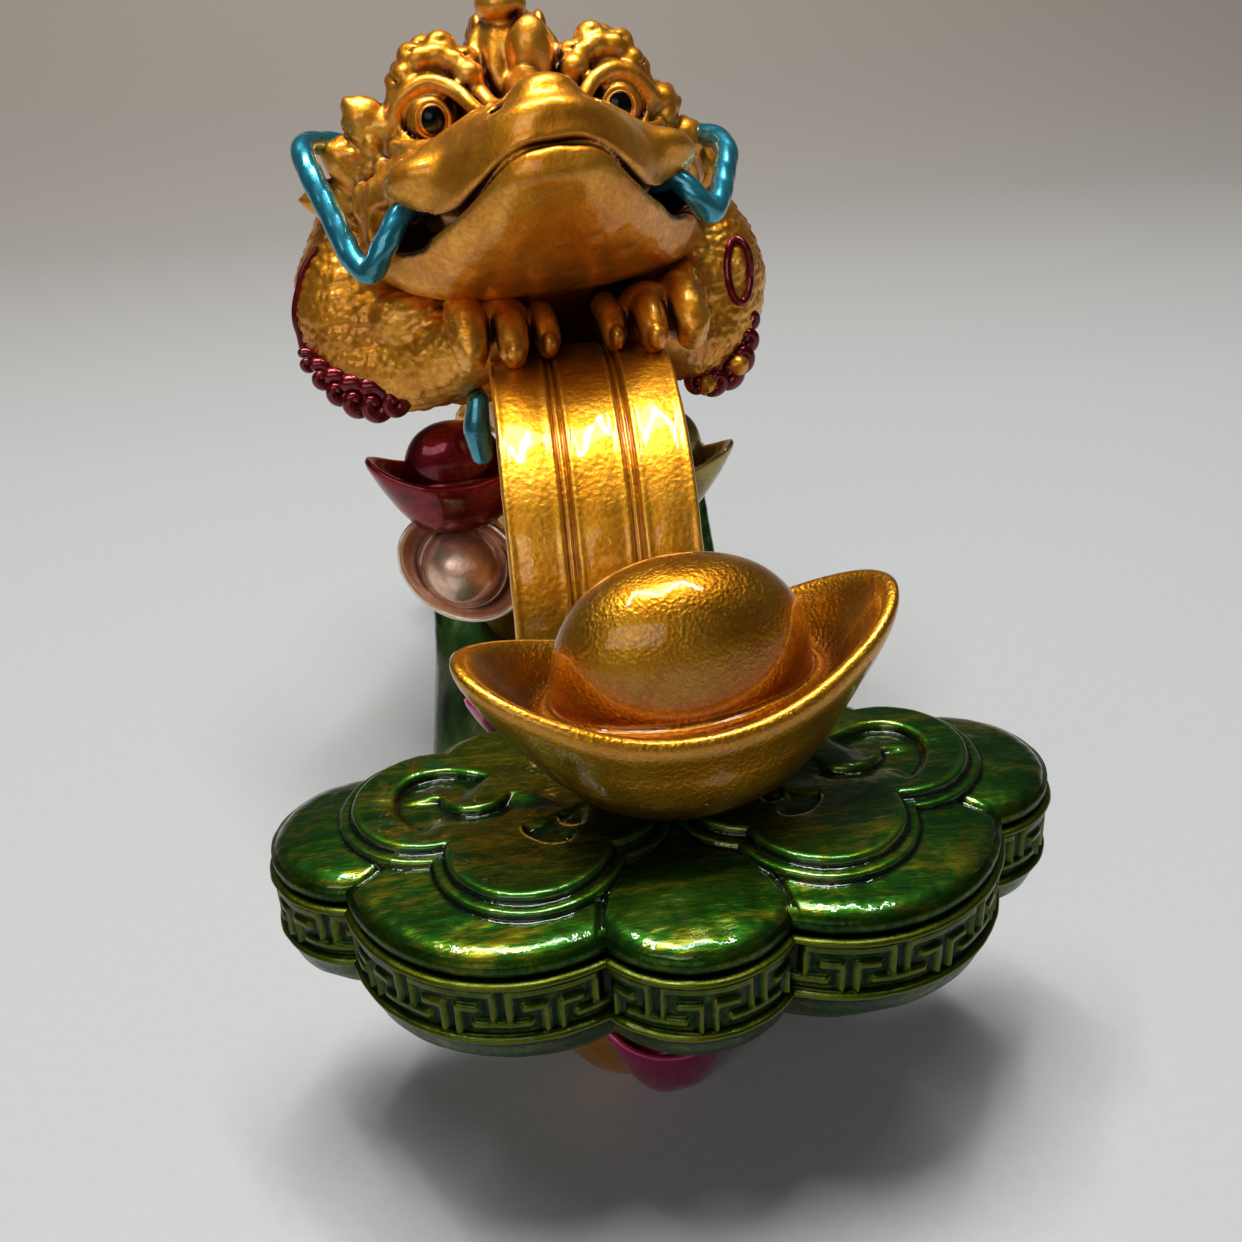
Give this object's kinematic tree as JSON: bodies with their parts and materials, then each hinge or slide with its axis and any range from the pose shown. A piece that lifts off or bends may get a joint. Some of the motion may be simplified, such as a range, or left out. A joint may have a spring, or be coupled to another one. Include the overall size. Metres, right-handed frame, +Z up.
{
  "type": "money toad figure",
  "caption": "Lacquered resin toad crouching on upright coins on a ruyi sceptre, with boat ingots around it and one glued on the sceptre head.",
  "frame": {"origin": "centre of the bounding box at the underside, on the surface the figure stands on", "axes": "+Z up; +Y along the sceptre from its head towards its tail, so the toad looks towards -Y; +X to the viewer's right"},
  "size_m": [0.0618, 0.1206, 0.0845],
  "materials": {
    "antique_gold": "metallic gold paint with brown in the recesses under clear gloss",
    "bright_gold": "wrinkled metallic gold paint under clear gloss",
    "green_lacquer": "brushed metallic green with olive-gold streaks under thick clear gloss",
    "crimson_lacquer": "metallic crimson under clear gloss",
    "rose_gold": "pearly rose gold under clear gloss",
    "magenta_lacquer": "metallic magenta under clear gloss",
    "olive_gold": "olive gold paint under clear gloss",
    "teal_lacquer": "metallic teal under clear gloss",
    "black_gloss": "glossy black paint"
  },
  "bodies": {
    "root": {"toad_on_sceptre": "antique_gold", "large_ingot": "bright_gold"}
  },
  "joints": []
}
